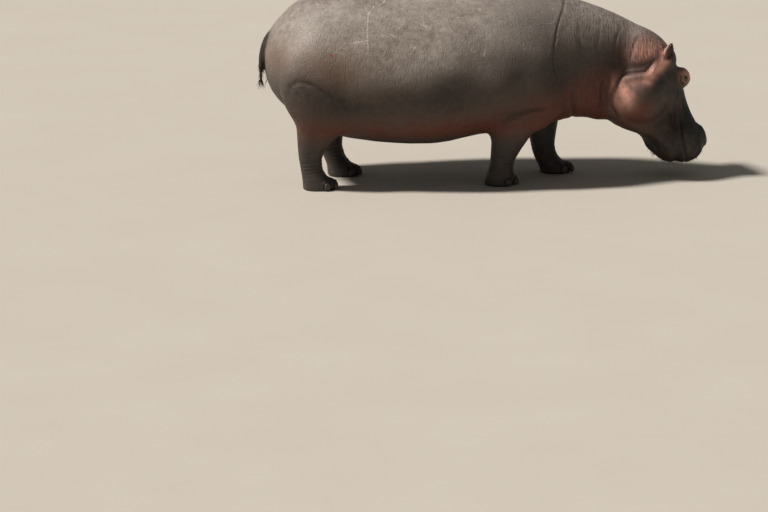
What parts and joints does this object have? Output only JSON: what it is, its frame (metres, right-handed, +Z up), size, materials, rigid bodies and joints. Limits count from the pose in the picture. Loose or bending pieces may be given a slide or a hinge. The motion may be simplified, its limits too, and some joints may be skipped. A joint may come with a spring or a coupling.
{
  "type": "hippopotamus",
  "caption": "Still, life-size hippopotamus standing with its head lowered and muzzle near the ground: barrel body, short legs, short tail, small ears.",
  "frame": {"origin": "on the floor under the middle of the animal's bounding box", "axes": "+X towards the head, +Z up, -Y the animal's right side"},
  "size_m": [3.2568, 1.1778, 1.4218],
  "materials": {
    "skin": "thick, bare, slightly shiny skin",
    "eye": "glossy",
    "toenail": "worn horn"
  },
  "bodies": {
    "root": {"trunk": "skin", "neck": "skin", "head": "skin", "lower_jaw": "skin", "tail": "skin", "ear_left": "skin", "ear_right": "skin", "foreleg_right": "skin", "forefoot_right": "skin", "foreleg_left": "skin", "forefoot_left": "skin", "hindleg_right": "skin", "hindfoot_right": "skin", "hindleg_left": "skin", "hindfoot_left": "skin", "eye_left": "eye", "eye_right": "eye", "toenail_forefoot_right_1": "toenail", "toenail_forefoot_right_2": "toenail", "toenail_forefoot_right_3": "toenail", "toenail_forefoot_right_4": "toenail", "toenail_forefoot_left_1": "toenail", "toenail_forefoot_left_2": "toenail", "toenail_forefoot_left_3": "toenail", "toenail_forefoot_left_4": "toenail", "toenail_hindfoot_right_1": "toenail", "toenail_hindfoot_right_2": "toenail", "toenail_hindfoot_right_3": "toenail", "toenail_hindfoot_right_4": "toenail", "toenail_hindfoot_left_1": "toenail", "toenail_hindfoot_left_2": "toenail", "toenail_hindfoot_left_3": "toenail", "toenail_hindfoot_left_4": "toenail"}
  },
  "joints": []
}
